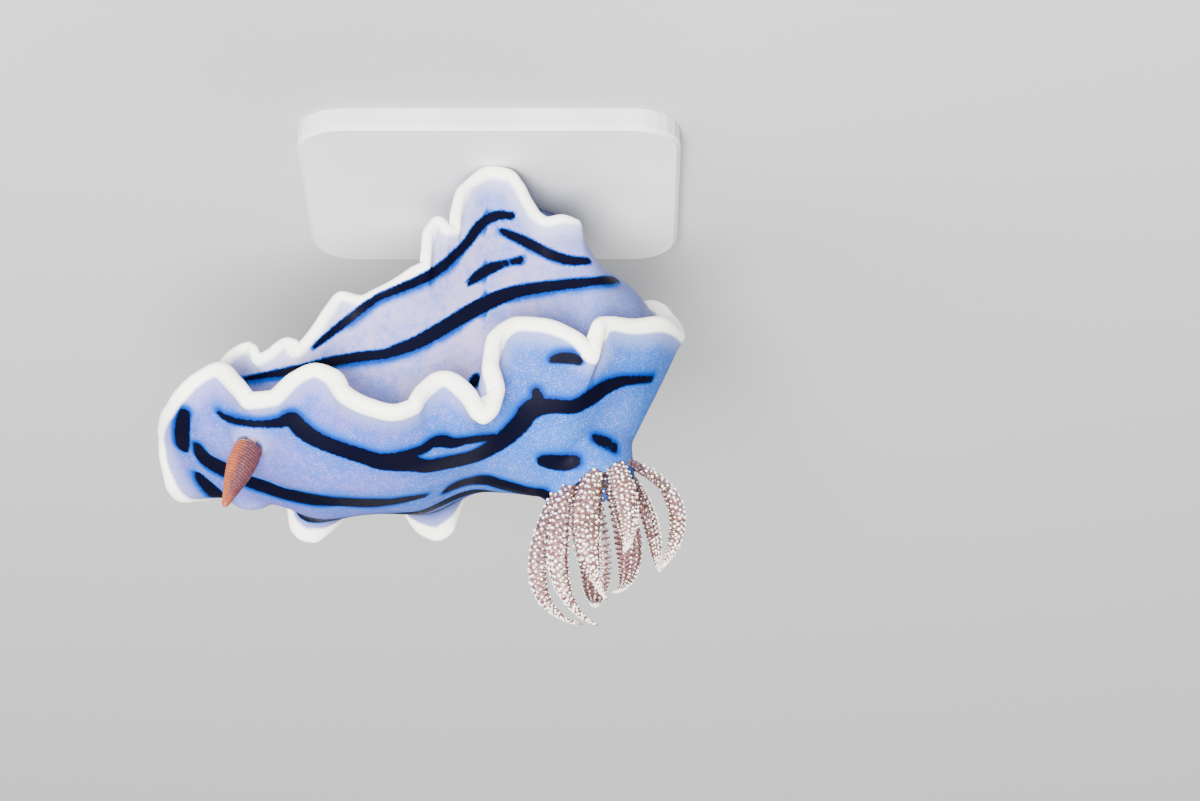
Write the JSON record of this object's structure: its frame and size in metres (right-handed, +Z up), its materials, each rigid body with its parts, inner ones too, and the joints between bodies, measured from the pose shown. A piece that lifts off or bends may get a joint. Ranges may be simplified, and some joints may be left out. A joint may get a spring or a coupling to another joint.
{
  "type": "nudibranch",
  "caption": "Life-size still model of a sea slug rearing up on a small base, with a frilled mantle skirt, club-like rhinophores and a crown of gill plumes.",
  "frame": {"origin": "middle of the outline seen from above, at the level of the floor that the display base stands on", "axes": "+X towards the head, +Y towards the animal's left side, +Z up"},
  "size_m": [0.033, 0.02, 0.0312],
  "materials": {
    "mantle_skin": "smooth wet skin, lavender blue with dark lines",
    "flank_skin": "smooth wet skin, pale lavender",
    "foot_skin": "smooth wet skin, pale with a white edge",
    "rhinophore": "wet, finely leaved, orange brown",
    "gill": "wet, translucent, pinkish brown with pale specks",
    "base": "plain, matte, pale grey"
  },
  "bodies": {
    "root": {"mantle": "mantle_skin", "trunk": "flank_skin", "head": "flank_skin", "oral_tentacle_right": "flank_skin", "oral_tentacle_left": "flank_skin", "foot": "foot_skin", "tail": "foot_skin", "rhinophore_right": "rhinophore", "rhinophore_left": "rhinophore", "gill_1": "gill", "gill_2": "gill", "gill_3": "gill", "gill_4": "gill", "gill_5": "gill", "gill_6": "gill", "gill_7": "gill", "gill_8": "gill", "stand_base": "base"}
  },
  "joints": []
}
